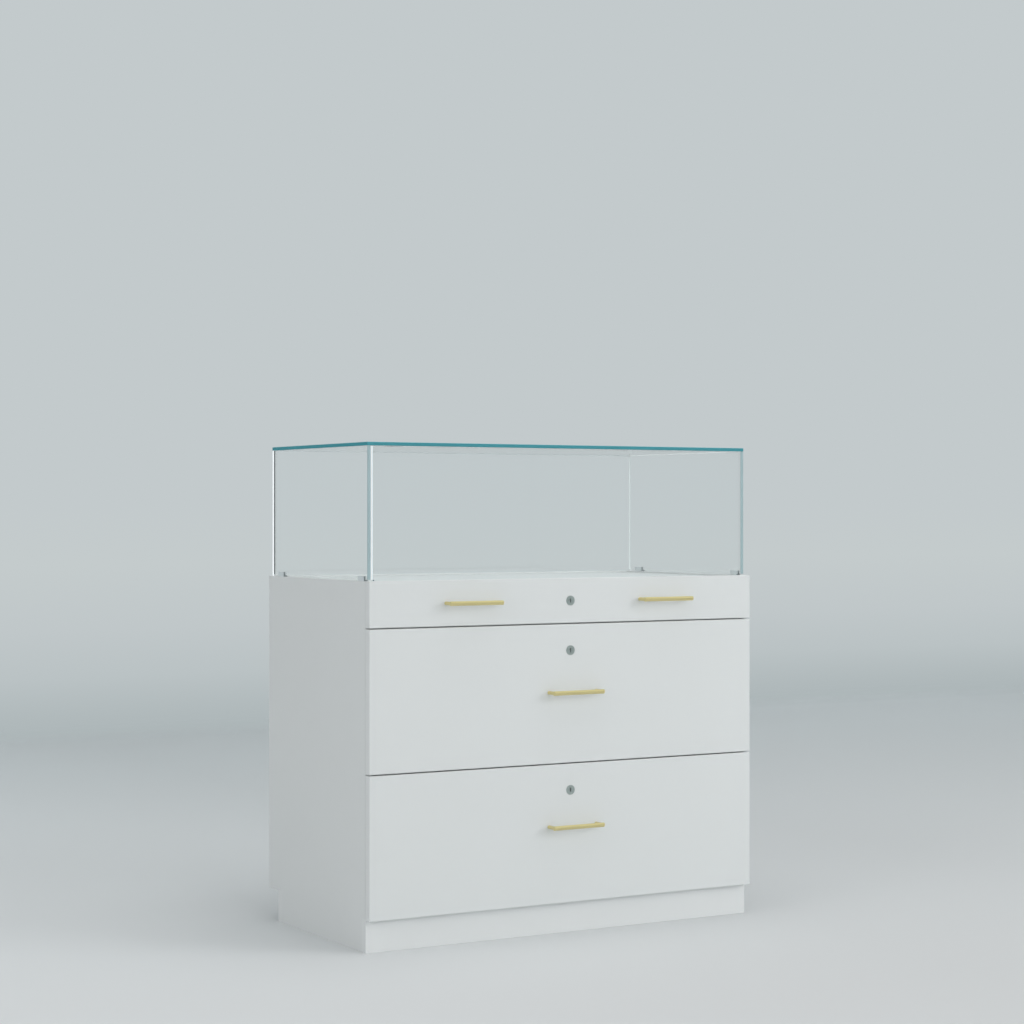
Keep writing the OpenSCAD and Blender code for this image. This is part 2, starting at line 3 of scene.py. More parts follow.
import bmesh
import bpy
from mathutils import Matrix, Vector


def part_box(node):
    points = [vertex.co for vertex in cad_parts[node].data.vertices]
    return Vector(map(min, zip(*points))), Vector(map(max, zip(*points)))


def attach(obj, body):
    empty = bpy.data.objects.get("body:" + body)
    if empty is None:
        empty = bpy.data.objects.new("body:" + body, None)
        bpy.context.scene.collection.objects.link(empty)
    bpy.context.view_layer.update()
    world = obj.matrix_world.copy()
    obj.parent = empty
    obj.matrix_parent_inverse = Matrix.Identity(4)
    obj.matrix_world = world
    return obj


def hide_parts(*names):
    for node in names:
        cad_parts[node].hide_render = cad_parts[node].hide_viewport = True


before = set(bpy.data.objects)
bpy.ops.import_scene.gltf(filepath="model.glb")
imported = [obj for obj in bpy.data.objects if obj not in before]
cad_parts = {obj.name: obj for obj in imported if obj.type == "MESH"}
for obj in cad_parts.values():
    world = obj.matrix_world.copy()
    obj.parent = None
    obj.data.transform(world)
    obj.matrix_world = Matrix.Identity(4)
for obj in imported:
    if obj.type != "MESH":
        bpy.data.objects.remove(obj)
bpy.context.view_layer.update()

# Camera: stands at the counter's front left at chest height and looks level across its corner.
# Its place and lens come from fitting the counter's own edges to their places in the picture.
CAMERA_PLACE = (-2.69699, -4.61496, 0.94435)
CAMERA_TURN = (radians(90.02), 0.0, radians(-30.25))
CAMERA_LENS_MM = 80.42
CAMERA_SENSOR_MM = 36.0

camera = bpy.data.objects.new("camera", bpy.data.cameras.new("camera"))
camera.data.lens = CAMERA_LENS_MM
camera.data.sensor_width = CAMERA_SENSOR_MM
camera.location = CAMERA_PLACE
camera.rotation_euler = CAMERA_TURN
bpy.context.scene.collection.objects.link(camera)
bpy.context.scene.camera = camera
bpy.context.scene.view_settings.view_transform = "Standard"

# Studio floor and sweep: one sheet of pale grey seamless paper that runs under the counter,
# curves up 5 m behind it and rises as a plain wall. The camera, metal and glass see its wall in an
# even glowing tone, with painted shade darker in the bend. Lamps light the floor; its colour adds
# painted light far off, at the left and at the far right, and painted shade at the right.
# Floor tones: the far tone is painted light; the side factors paint light at the left and far right
# and shade at the right.
NEAR_PAPER_HEX = "#D3D6D7"
FAR_PAPER_PAINTED_LIGHT_HEX = "#E1E8EA"
PAINTED_LIGHT_FADE = (-1.0, 3.5)
LEFT_PAINTED_LIGHT = 1.06
RIGHT_PAINTED_SHADE = 0.94
SIDE_PAINTED_LIGHT_FADE = (-1.3, 0.5)
FAR_RIGHT_PAINTED_LIGHT = 1.2
FAR_RIGHT_PAINTED_LIGHT_FADE = (1.5, 5.0)
# Painted shade: the wall's glowing tone darkens towards the bend.
BEND_PAINTED_SHADE_TONES = ((0.0, "#AEB7B9"), (0.19, "#BAC2C4"), (0.40, "#C0C7C9"), (0.70, "#C4CBCC"),
              (1.0, "#C3CACC"))
SWEEP_START_Y = 4.9
SWEEP_RADIUS = 0.9
TONE_FADE = (4.3, 5.0)
PAPER_HALF_WIDTH = 14.0
PAPER_FRONT_Y = -14.0
WALL_TOP = 8.0
SWEEP_STEPS = 24
PAPER_ROUGHNESS = 0.9
PAPER_MIRROR = 0.2


def linear(hex_colour, strength=1.0):
    """The linear colour of an sRGB hex value, made weaker or stronger."""
    parts = [int(hex_colour[i:i + 2], 16) / 255 for i in (1, 3, 5)]
    return [strength * (part / 12.92 if part <= 0.04045 else ((part + 0.055) / 1.055) ** 2.4)
            for part in parts] + [1.0]


def add_node(tree, kind, inputs=(), **settings):
    """A new node. inputs maps sockets to plain values or to other nodes' outputs."""
    made = tree.nodes.new(kind)
    for name, value in settings.items():
        setattr(made, name, value)
    for name, value in dict(inputs).items():
        if isinstance(value, bpy.types.NodeSocket):
            tree.links.new(value, made.inputs[name])
        else:
            made.inputs[name].default_value = value
    return made


def start_material(name):
    """An empty material: (material, its node tree, its output node)."""
    made = bpy.data.materials.new(name)
    made.use_nodes = True
    made.node_tree.nodes.clear()
    return made, made.node_tree, add_node(made.node_tree, "ShaderNodeOutputMaterial")


def viewing_rays(tree):
    """1 for rays that look at something: straight, off metal, or through glass."""
    path = add_node(tree, "ShaderNodeLightPath")
    seen = add_node(tree, "ShaderNodeMath", {
        0: path.outputs["Is Camera Ray"], 1: path.outputs["Is Glossy Ray"]}, operation="MAXIMUM")
    return add_node(tree, "ShaderNodeMath", {
        0: seen.outputs[0], 1: path.outputs["Is Transmission Ray"]}, operation="MAXIMUM").outputs[0]


def toned(tree, value, tones):
    """A smooth run of tones along a value, from (place, hex) pairs."""
    ramp = add_node(tree, "ShaderNodeValToRGB", {0: value})
    stops = ramp.color_ramp.elements
    while len(stops) < len(tones):
        stops.new(0.5)
    for stop, (place, tone) in zip(stops, tones):
        stop.position = place
        stop.color = linear(tone)
    return ramp.outputs[0]


def mesh_object(name, bm, material, smooth=False):
    """A finished piece from a bmesh, with its place in its mesh."""
    mesh = bpy.data.meshes.new(name)
    bm.to_mesh(mesh)
    bm.free()
    mesh.materials.append(material)
    for polygon in mesh.polygons:
        polygon.use_smooth = smooth
    made = bpy.data.objects.new(name, mesh)
    bpy.context.scene.collection.objects.link(made)
    return made


paper, tree, output = start_material("matt_background_paper")
place = add_node(tree, "ShaderNodeTexCoord")
axes = add_node(tree, "ShaderNodeSeparateXYZ", {0: place.outputs["Object"]})
# Painted light: the floor's colour grows lighter with distance.
distance = add_node(tree, "ShaderNodeMapRange", {
    "Value": axes.outputs["Y"], "From Min": PAINTED_LIGHT_FADE[0], "From Max": PAINTED_LIGHT_FADE[1]})
shade = add_node(tree, "ShaderNodeMix", {
    0: distance.outputs[0], 6: linear(NEAR_PAPER_HEX), 7: linear(FAR_PAPER_PAINTED_LIGHT_HEX)}, data_type="RGBA")
# Painted light at the left and far right, painted shade at the right.
across = add_node(tree, "ShaderNodeMapRange", {
    "Value": axes.outputs["X"], "From Min": SIDE_PAINTED_LIGHT_FADE[0], "From Max": SIDE_PAINTED_LIGHT_FADE[1],
    "To Min": LEFT_PAINTED_LIGHT, "To Max": RIGHT_PAINTED_SHADE})
painted_far_right_light = add_node(tree, "ShaderNodeMapRange", {
    "Value": axes.outputs["X"], "From Min": FAR_RIGHT_PAINTED_LIGHT_FADE[0], "From Max": FAR_RIGHT_PAINTED_LIGHT_FADE[1],
    "To Min": 1.0, "To Max": FAR_RIGHT_PAINTED_LIGHT})
across = add_node(tree, "ShaderNodeMath", {
    0: across.outputs[0], 1: painted_far_right_light.outputs[0]}, operation="MULTIPLY")
shade = add_node(tree, "ShaderNodeVectorMath", {
    0: shade.outputs[2], "Scale": across.outputs[0]}, operation="SCALE")
sheet = add_node(tree, "ShaderNodeBsdfPrincipled", {
    "Base Color": shade.outputs[0], "Roughness": PAPER_ROUGHNESS, "Specular IOR Level": PAPER_MIRROR})
# The wall's even glow, darker in the bend as painted shade.
wall_tone = add_node(tree, "ShaderNodeEmission", {
    "Color": toned(tree, axes.outputs["Z"], BEND_PAINTED_SHADE_TONES), "Strength": 1.0})
on_wall = add_node(tree, "ShaderNodeMapRange", {
    "Value": axes.outputs["Y"], "From Min": TONE_FADE[0], "From Max": TONE_FADE[1]},
    interpolation_type="SMOOTHSTEP")
share = add_node(tree, "ShaderNodeMath", {
    0: on_wall.outputs[0], 1: viewing_rays(tree)}, operation="MULTIPLY")
either = add_node(tree, "ShaderNodeMixShader", {
    0: share.outputs[0], 1: sheet.outputs[0], 2: wall_tone.outputs[0]})
tree.links.new(either.outputs[0], output.inputs["Surface"])

profile = [(PAPER_FRONT_Y, 0.0), (SWEEP_START_Y, 0.0)]
for step in range(1, SWEEP_STEPS + 1):
    turn = pi / 2 * step / SWEEP_STEPS
    profile.append((SWEEP_START_Y + SWEEP_RADIUS * sin(turn), SWEEP_RADIUS * (1 - cos(turn))))
profile.append((SWEEP_START_Y + SWEEP_RADIUS, WALL_TOP))
bm = bmesh.new()
rows = [[bm.verts.new((x, y, z)) for x in (-PAPER_HALF_WIDTH, PAPER_HALF_WIDTH)] for y, z in profile]
for (a, b), (c, d) in zip(rows, rows[1:]):
    bm.faces.new((a, b, d, c))
mesh_object("studio_paper", bm, paper, smooth=True)

# Lamps: a softbox low at the front right, which casts the pulls' short shadows, wide weak ones in
# front, at the left and overhead, and an even sky. A white sheet comes out at about its own colour.
# Glass and metal see the paper's tone and a white ceiling; lamps shine straight through the panes.
SOFTBOXES = (
    ("right_softbox", (3.5, -3.75, 2.1), 2.6, 80.0),
    ("front_softbox", (-0.5, -7.0, 2.2), 3.0, 51.0),
    ("left_softbox", (-5.0, -2.0, 2.5), 3.0, 52.0),
    ("top_softbox", (0.3, -0.8, 5.0), 4.0, 86.0),
)
AIM = (0.0, 0.0, 0.6)
SKY_STRENGTH = 0.42
SKY_TONES = ((0.0, "#C3CACC"), (0.25, "#C3CACC"), (0.75, "#F6F8F8"))

for name, spot, size, watts in SOFTBOXES:
    lamp = bpy.data.lights.new(name, "AREA")
    lamp.size = size
    lamp.energy = watts
    lamp.cycles.use_multiple_importance_sampling = False
    softbox = bpy.data.objects.new(name, lamp)
    softbox.location = spot
    softbox.rotation_euler = (Vector(AIM) - Vector(spot)).to_track_quat("-Z", "Y").to_euler()
    softbox.visible_camera = False
    softbox.visible_glossy = False
    softbox.visible_transmission = False
    bpy.context.scene.collection.objects.link(softbox)
world = bpy.data.worlds.new("studio_sky")
world.use_nodes = True
tree = world.node_tree
tree.nodes.clear()
direction = add_node(tree, "ShaderNodeTexCoord")
height = add_node(tree, "ShaderNodeSeparateXYZ", {0: direction.outputs["Generated"]})
sky = add_node(tree, "ShaderNodeBackground", {"Color": (1, 1, 1, 1), "Strength": SKY_STRENGTH})
seen_sky = add_node(tree, "ShaderNodeBackground", {
    "Color": toned(tree, height.outputs["Z"], SKY_TONES), "Strength": 1.0})
either = add_node(tree, "ShaderNodeMixShader", {
    0: viewing_rays(tree), 1: sky.outputs[0], 2: seen_sky.outputs[0]})
add_node(tree, "ShaderNodeOutputWorld", {"Surface": either.outputs[0]})
bpy.context.scene.world = world

# Carcass: side panels, bottom, back and two front rails of 18 mm chipboard with white melamine
# faces, glued on hidden dowels. The press leaves a shallow pearl in the film, which breaks up its
# gloss; the cut edges are banded with smoother white ABS.
BOARD_HEX = "#E1E4E4"
BOARD_ROUGHNESS = 0.42
FILM_IOR = 1.5
CLOUD_MM = 260.0
CLOUD_DARKEST = 0.975
PEARL_MM = 2.4  # real pearl is about 0.5 mm, too fine to show in the render
PEARL_DEPTH_MM = 0.02
PEARL_STRENGTH = 0.35
BAND_HEX = "#E2E5E5"
BAND_GLOSS = (0.3, 0.45)
BAND_GRAIN_MM = 9.0
ABS_IOR = 1.54
FACES_ALONG = 0.9  # a face whose direction has this much of an axis faces along it


def white_film(name, hex_colour, roughness, mirror=0.5):
    """White melamine film: faint clouds in the colour and a shallow pressed pearl."""
    made, tree, output = start_material(name)
    place = add_node(tree, "ShaderNodeTexCoord")
    clouds = add_node(tree, "ShaderNodeTexNoise", {
        "Vector": place.outputs["Object"], "Scale": 1000.0 / CLOUD_MM, "Detail": 3.0})
    tint = add_node(tree, "ShaderNodeMix", {
        0: clouds.outputs["Fac"], 6: linear(hex_colour, CLOUD_DARKEST), 7: linear(hex_colour)},
        data_type="RGBA")
    pearl = add_node(tree, "ShaderNodeTexVoronoi", {
        "Vector": place.outputs["Object"], "Scale": 1000.0 / PEARL_MM}, feature="SMOOTH_F1")
    relief = add_node(tree, "ShaderNodeBump", {
        "Strength": PEARL_STRENGTH, "Distance": PEARL_DEPTH_MM / 1000.0,
        "Height": pearl.outputs["Distance"]})
    film = add_node(tree, "ShaderNodeBsdfPrincipled", {
        "Base Color": tint.outputs[2], "Roughness": roughness, "IOR": FILM_IOR,
        "Specular IOR Level": mirror, "Normal": relief.outputs["Normal"]})
    tree.links.new(film.outputs[0], output.inputs["Surface"])
    return made


def smooth_plastic(name, hex_colour, gloss_range, grain_mm, ior, transmission=0.0):
    """A moulded or extruded plastic whose gloss drifts a little over its surface."""
    made, tree, output = start_material(name)
    place = add_node(tree, "ShaderNodeTexCoord")
    grain = add_node(tree, "ShaderNodeTexNoise", {
        "Vector": place.outputs["Object"], "Scale": 1000.0 / grain_mm})
    gloss = add_node(tree, "ShaderNodeMapRange", {
        "Value": grain.outputs["Fac"], "To Min": gloss_range[0], "To Max": gloss_range[1]})
    plastic = add_node(tree, "ShaderNodeBsdfPrincipled", {
        "Base Color": linear(hex_colour), "Roughness": gloss.outputs[0], "IOR": ior,
        "Transmission Weight": transmission})
    tree.links.new(plastic.outputs[0], output.inputs["Surface"])
    return made


def dress(material, *nodes, ends=None, face_axis=None):
    """Gives CAD nodes their material, and the ends one where a side doesn't face along the axis."""
    for name in nodes:
        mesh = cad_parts[name].data
        mesh.materials.clear()
        mesh.materials.append(material)
        if ends:
            mesh.materials.append(ends)
            for polygon in mesh.polygons:
                polygon.material_index = 0 if abs(polygon.normal[face_axis]) > FACES_ALONG else 1


melamine = white_film("white_melamine_film", BOARD_HEX, BOARD_ROUGHNESS)
banding = smooth_plastic("white_abs_edge_band", BAND_HEX, BAND_GLOSS, BAND_GRAIN_MM, ABS_IOR)
dress(melamine, "side_panel_left", "side_panel_right", ends=banding, face_axis=0)
dress(melamine, "back_panel", "upper_front_rail", "lower_front_rail", ends=banding, face_axis=1)
dress(melamine, "bottom_panel", ends=banding, face_axis=2)

# Cam covers: white moulded caps pressed over the cam connectors that draw the carcass joints
# tight. Each is a shallow dome with a slot in its rim for prising it out. The moulding leaves
# them a little glossier than the film around them.
COVER_D = 0.017
COVER_RISE = 0.0010
COVER_SLOT = 0.0022
COVER_IN = 0.034
BOTTOM_COVER_IN = 0.060
BACK_COVER_HEIGHTS = (0.16, 0.44, 0.72)
COVER_HEX = "#DFE1E0"
COVER_GLOSS = (0.25, 0.4)
COVER_GRAIN_MM = 3.0
POLYSTYRENE_IOR = 1.59


def growth(name, sizes, material):
    """Starts a Geometry Nodes tree that puts a shape on each marked place, faced its marked way.

    Gives a function that adds a node, the sizes' sockets, and one that closes the tree on a shape.
    """
    tree = bpy.data.node_groups.new(name, "GeometryNodeTree")
    tree.interface.new_socket("Places", in_out="INPUT", socket_type="NodeSocketGeometry")
    for label, value in sizes.items():
        kind = "NodeSocketInt" if isinstance(value, int) else "NodeSocketFloat"
        tree.interface.new_socket(label, in_out="INPUT", socket_type=kind)
    tree.interface.new_socket("Pieces", in_out="OUTPUT", socket_type="NodeSocketGeometry")
    given = add_node(tree, "NodeGroupInput").outputs

    def node(kind, inputs=(), **settings):
        return add_node(tree, kind, inputs, **settings)

    def close(shape):
        facing = node("GeometryNodeInputNamedAttribute", {"Name": "facing"}, data_type="FLOAT_VECTOR")
        turned = node("FunctionNodeAlignRotationToVector", {"Vector": facing.outputs[0]}, axis="Z")
        placed = node("GeometryNodeInstanceOnPoints", {
            "Points": given["Places"], "Instance": shape, "Rotation": turned.outputs[0]})
        real = node("GeometryNodeRealizeInstances", {0: placed.outputs[0]})
        finished = node("GeometryNodeSetMaterial", {
            "Geometry": real.outputs[0], "Material": material})
        node("NodeGroupOutput", {0: finished.outputs[0]})
        return tree, sizes

    return node, given, close


def grow(name, tree_and_sizes, places, body):
    """Runs a tree on (place, facing) pairs and keeps the result as one plain piece on a body."""
    tree, sizes = tree_and_sizes
    marks = bpy.data.meshes.new(name + "_marks")
    marks.from_pydata([place for place, facing in places], [], [])
    facings = marks.attributes.new("facing", "FLOAT_VECTOR", "POINT")
    facings.data.foreach_set("vector", [part for place, facing in places for part in facing])
    piece = bpy.data.objects.new(name, marks)
    bpy.context.scene.collection.objects.link(piece)
    modifier = piece.modifiers.new("growth", "NODES")
    modifier.node_group = tree
    for socket in tree.interface.items_tree:
        if socket.name in sizes:
            modifier[socket.identifier] = sizes[socket.name]
    result = piece.evaluated_get(bpy.context.evaluated_depsgraph_get())
    grown = bpy.data.meshes.new_from_object(result)
    piece.modifiers.clear()
    piece.data = grown
    grown.name = name
    grown.materials.clear()
    grown.materials.append(tree.nodes["Set Material"].inputs["Material"].default_value)
    for polygon in grown.polygons:
        polygon.material_index = 0
    bpy.data.meshes.remove(marks)
    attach(piece, body)
    return piece


def dome_tree(name, diameter, rise, slot_width, material):
    """A shallow round dome that lies on the surface, with a notch in its rim if it has a slot."""
    node, given, close = growth(
        name, {"Diameter": diameter, "Rise": rise, "Slot Width": slot_width}, material)
    ball = node("GeometryNodeMeshUVSphere", {"Segments": 24, "Rings": 12, "Radius": 0.5})
    height = node("ShaderNodeMath", {0: given["Rise"], 1: 2.0}, operation="MULTIPLY")
    spread = node("ShaderNodeCombineXYZ", {
        0: given["Diameter"], 1: given["Diameter"], 2: height.outputs[0]})
    dome = node("GeometryNodeTransform", {
        "Geometry": ball.outputs["Mesh"], "Scale": spread.outputs[0]})
    smooth = node("GeometryNodeSetShadeSmooth", {"Geometry": dome.outputs[0]})
    if not slot_width:
        return close(smooth.outputs[0])
    half = node("ShaderNodeMath", {0: given["Diameter"], 1: 0.5}, operation="MULTIPLY")
    cutter_size = node("ShaderNodeCombineXYZ", {
        0: given["Slot Width"], 1: half.outputs[0], 2: given["Diameter"]})
    cutter_place = node("ShaderNodeCombineXYZ", {1: half.outputs[0]})
    cutter = node("GeometryNodeMeshCube", {"Size": cutter_size.outputs[0]})
    moved = node("GeometryNodeTransform", {
        "Geometry": cutter.outputs["Mesh"], "Translation": cutter_place.outputs[0]})
    notched = node("GeometryNodeMeshBoolean", {
        "Mesh 1": smooth.outputs[0], "Mesh 2": moved.outputs[0]}, operation="DIFFERENCE")
    return close(notched.outputs["Mesh"])


cap_white = smooth_plastic(
    "white_moulded_polystyrene", COVER_HEX, COVER_GLOSS, COVER_GRAIN_MM, POLYSTYRENE_IOR)
cover = dome_tree("cam_cover", COVER_D, COVER_RISE, COVER_SLOT, cap_white)
rail_low, rail_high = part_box("upper_front_rail")
bottom_low, bottom_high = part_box("bottom_panel")
back_inside_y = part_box("back_panel")[0][1]
covers = []
for x in (rail_low[0] + COVER_IN, rail_high[0] - COVER_IN):
    for rail in ("upper_front_rail", "lower_front_rail"):
        low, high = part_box(rail)
        covers.append(((x, high[1], (low[2] + high[2]) / 2), (0, 1, 0)))
    for y in (bottom_low[1] + BOTTOM_COVER_IN, bottom_high[1] - BOTTOM_COVER_IN):
        covers.append(((x, y, bottom_low[2]), (0, 0, -1)))
    for z in BACK_COVER_HEIGHTS:
        covers.append(((x, back_inside_y, z), (0, -1, 0)))
grow("carcass_cam_covers", cover, covers, "cabinet")

# Plinth: a frame of the same board that stands 73 mm high, set back a little under the carcass,
# with square blocks glued in its corners. Its front and back boards take a lighter copy of the film,
# as painted light under the fronts' overhang. The blocks' pan-head screws are zinc-plated, and the
# plate's drawn grain gives them a soft grey glint.
PLINTH_PAINTED_LIGHT_HEX = "#E6E9E9"
BLOCK_SIDE = 0.038
BLOCK_SCREWS_UP = (0.25, 0.75)
BLOCK_SCREW = {"Head Diameter": 0.009, "Head Height": 0.0026, "Shank Diameter": 0.0045,
               "Shank Length": 0.0120, "Recess Width": 0.0013, "Recess Depth": 0.0016}
CROWN_SHARE = 0.38  # the crown's radius, of the head's diameter
RECESS_SHARE = 0.6  # the cross's length, of the head's diameter
RECESS_DEEP = (2.0, 1.8)  # half of each block is in the head; the arms' floors don't coincide
ZINC_HEX = "#C9CDCF"
GRAIN_LIMITS = (0.3, 0.7)
GLOSS_DRIFT = 0.08
GRAIN_STRENGTH = 0.4
GRAIN_DARKEST = 0.9


def fine_metal(name, hex_colour, roughness, grain_mm, relief_mm):
    """A metal whose grain runs as the three sizes in grain_mm say, along X, Y and Z."""
    made, tree, output = start_material(name)
    place = add_node(tree, "ShaderNodeTexCoord")
    stretch = add_node(tree, "ShaderNodeMapping", {
        "Vector": place.outputs["Object"], "Scale": [1000.0 / size for size in grain_mm]})
    grain = add_node(tree, "ShaderNodeTexNoise", {
        "Vector": stretch.outputs[0], "Scale": 1.0, "Detail": 4.0})
    gloss = add_node(tree, "ShaderNodeMapRange", {
        "Value": grain.outputs["Fac"], "From Min": GRAIN_LIMITS[0], "From Max": GRAIN_LIMITS[1],
        "To Min": roughness - GLOSS_DRIFT, "To Max": roughness + GLOSS_DRIFT})
    relief = add_node(tree, "ShaderNodeBump", {
        "Strength": GRAIN_STRENGTH, "Distance": relief_mm / 1000.0, "Height": grain.outputs["Fac"]})
    tint = add_node(tree, "ShaderNodeMix", {
        0: grain.outputs["Fac"], 6: linear(hex_colour, GRAIN_DARKEST), 7: linear(hex_colour)},
        data_type="RGBA")
    metal = add_node(tree, "ShaderNodeBsdfPrincipled", {
        "Base Color": tint.outputs[2], "Metallic": 1.0, "Roughness": gloss.outputs[0],
        "Normal": relief.outputs["Normal"]})
    tree.links.new(metal.outputs[0], output.inputs["Surface"])
    return made


def screw_tree(name, sizes, material):
    """A pan-head screw seen from outside: a bevelled head with a cross recess, and its shank."""
    node, given, close = growth(name, sizes, material)
    rim = node("ShaderNodeMath", {0: given["Head Diameter"], 1: 0.5}, operation="MULTIPLY")
    crown = node("ShaderNodeMath", {0: given["Head Diameter"], 1: CROWN_SHARE}, operation="MULTIPLY")
    head = node("GeometryNodeMeshCone", {
        "Vertices": 24, "Radius Top": crown.outputs[0], "Radius Bottom": rim.outputs[0],
        "Depth": given["Head Height"]})
    reach = node("ShaderNodeMath", {0: given["Head Diameter"], 1: RECESS_SHARE}, operation="MULTIPLY")
    top = node("ShaderNodeCombineXYZ", {2: given["Head Height"]})
    cut = head.outputs["Mesh"]
    arms = ((given["Recess Width"], reach.outputs[0]), (reach.outputs[0], given["Recess Width"]))
    for sides, share in zip(arms, RECESS_DEEP):
        deep = node("ShaderNodeMath", {0: given["Recess Depth"], 1: share}, operation="MULTIPLY")
        size = node("ShaderNodeCombineXYZ", {0: sides[0], 1: sides[1], 2: deep.outputs[0]})
        block = node("GeometryNodeMeshCube", {"Size": size.outputs[0]})
        arm = node("GeometryNodeTransform", {
            "Geometry": block.outputs["Mesh"], "Translation": top.outputs[0]})
        cut = node("GeometryNodeMeshBoolean", {
            "Mesh 1": cut, "Mesh 2": arm.outputs[0]}, operation="DIFFERENCE").outputs["Mesh"]
    half = node("ShaderNodeMath", {0: given["Shank Diameter"], 1: 0.5}, operation="MULTIPLY")
    shank = node("GeometryNodeMeshCylinder", {
        "Vertices": 16, "Radius": half.outputs[0], "Depth": given["Shank Length"]})
    middle = node("ShaderNodeMath", {0: given["Shank Length"], 1: -0.5}, operation="MULTIPLY")
    down = node("ShaderNodeCombineXYZ", {2: middle.outputs[0]})
    sunk = node("GeometryNodeTransform", {
        "Geometry": shank.outputs["Mesh"], "Translation": down.outputs[0]})
    both = add_node(head.id_data, "GeometryNodeJoinGeometry", {0: cut})
    head.id_data.links.new(sunk.outputs[0], both.inputs[0])
    return close(both.outputs[0])


zinc = fine_metal(
    "zinc_plated_steel", ZINC_HEX, roughness=0.32, grain_mm=(1.2, 6.0, 1.2), relief_mm=0.01)
# A lighter copy of the carcass film: painted light on the plinth's front and back boards.
painted_light_plinth_film = white_film("white_melamine_plinth_film_painted_light", PLINTH_PAINTED_LIGHT_HEX, BOARD_ROUGHNESS)
dress(painted_light_plinth_film, "plinth_front_board", "plinth_back_board", ends=banding, face_axis=1)
dress(melamine, "plinth_side_boards", ends=banding, face_axis=0)
dress(melamine, "plinth_corner_blocks", ends=banding, face_axis=1)
block_low, block_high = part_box("plinth_corner_blocks")
block_screws = [((side * (block_high[0] - BLOCK_SIDE), y, share * block_high[2]), (-side, 0, 0))
                for side in (-1, 1) for share in BLOCK_SCREWS_UP
                for y in (block_low[1] + BLOCK_SIDE / 2, block_high[1] - BLOCK_SIDE / 2)]
block_screw = screw_tree("block_screw", BLOCK_SCREW, zinc)
grow("plinth_block_screws", block_screw, block_screws, "cabinet")

# Glass hood: five panes of 8 mm clear float glass, joined with clear adhesive. The top pane lies on
# the upright ones. Edges are ground and polished and show the glass's own blue-green where they are
# seen along the pane. Near-white painted highlights that glow stand on the back pane's ends and the
# front pane's left bevel; the top pane's upper arrises carry a paler painted highlight, the left
# pane's rear edge painted shade, and the other glued edges a pale painted light that glows a little.
GLASS_IOR = 1.52
CLEAR_HEX = "#FDFEFE"
TOP_EDGE_HEX = "#48949F"
TOP_END_HEX = "#2C93A0"
# A paler painted highlight on the top pane's upper arrises.
TOP_ARRIS_PAINTED_HIGHLIGHT_HEX = "#83BAC1"
UPRIGHT_EDGE_HEX = "#A5BCC0"
# Painted highlights: near-white edges that glow, on the back pane's ends and the front pane's left
# bevel.
PAINTED_HIGHLIGHT_HEX = "#EAF3F7"
PAINTED_HIGHLIGHT_GLOW = 0.42
BEVEL_PAINTED_HIGHLIGHT_GLOW = 0.30
JOINT_PAINTED_SHADE_HEX = "#566260"  # painted shade on the left pane's rear edge, darker than the right pane's
CORNER_PAINTED_LIGHT_HEX = "#E4EAEA"  # painted light on glued edges, pale and glowing a little
CORNER_PAINTED_GLOW = 0.10
SEAM_HEX = "#BCC4C6"  # the back pane's top edge, glued under the top pane
EDGE_DEPTH_MM = 160.0
EDGE_DARKEST = 0.92
EDGE_ROUGHNESS = 0.2
EDGE_MIRROR = 0.2
FLAT = 0.99  # the part of its direction along an axis that only a pane's flat faces reach
SLOPED = 0.6  # the part that an edge and the arrises beside it reach
LEVEL = 0.01  # a face whose direction rises more than this looks upwards


def clear_glass():
    """Clear float glass that lets the lamps through, as thin panes do."""
    made, tree, output = start_material("clear_float_glass")
    glass = add_node(tree, "ShaderNodeBsdfPrincipled", {
        "Base Color": linear(CLEAR_HEX), "Roughness": 0.0, "IOR": GLASS_IOR,
        "Transmission Weight": 1.0})
    open_way = add_node(tree, "ShaderNodeBsdfTransparent", {"Color": linear(CLEAR_HEX)})
    path = add_node(tree, "ShaderNodeLightPath")
    either = add_node(tree, "ShaderNodeMixShader", {
        0: path.outputs["Is Shadow Ray"], 1: glass.outputs[0], 2: open_way.outputs[0]})
    tree.links.new(either.outputs[0], output.inputs["Surface"])
    return made


def ground_edge(name, hex_colour, glow=0.0):
    """The ground and polished edge of a pane, whose depth of tint drifts along it; any glow is
    painted light.
    """
    made, tree, output = start_material(name)
    place = add_node(tree, "ShaderNodeTexCoord")
    depth = add_node(tree, "ShaderNodeTexNoise", {
        "Vector": place.outputs["Object"], "Scale": 1000.0 / EDGE_DEPTH_MM})
    tint = add_node(tree, "ShaderNodeMix", {
        0: depth.outputs["Fac"], 6: linear(hex_colour, EDGE_DARKEST), 7: linear(hex_colour)},
        data_type="RGBA")
    edge = add_node(tree, "ShaderNodeBsdfPrincipled", {
        "Base Color": tint.outputs[2], "Roughness": EDGE_ROUGHNESS, "IOR": GLASS_IOR,
        "Specular IOR Level": EDGE_MIRROR, "Emission Strength": glow})
    tree.links.new(edge.outputs[0], output.inputs["Surface"])
    return made


def glaze(name, finish):
    """Gives each polygon of a pane what finish says for the direction that it faces."""
    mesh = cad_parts[name].data
    mesh.materials.clear()
    finishes = [float_glass, top_edge, top_end, painted_highlight_top_arris, upright_edge, painted_highlight_edge, painted_highlight_bevel,
                painted_shade_joint_edge, painted_light_corner_edge, seam_edge]
    for material in finishes:
        mesh.materials.append(material)
    for polygon in mesh.polygons:
        polygon.material_index = finishes.index(finish(*polygon.normal))


float_glass = clear_glass()
top_edge = ground_edge("ground_edge_of_top_pane", TOP_EDGE_HEX)
top_end = ground_edge("ground_end_of_top_pane", TOP_END_HEX)
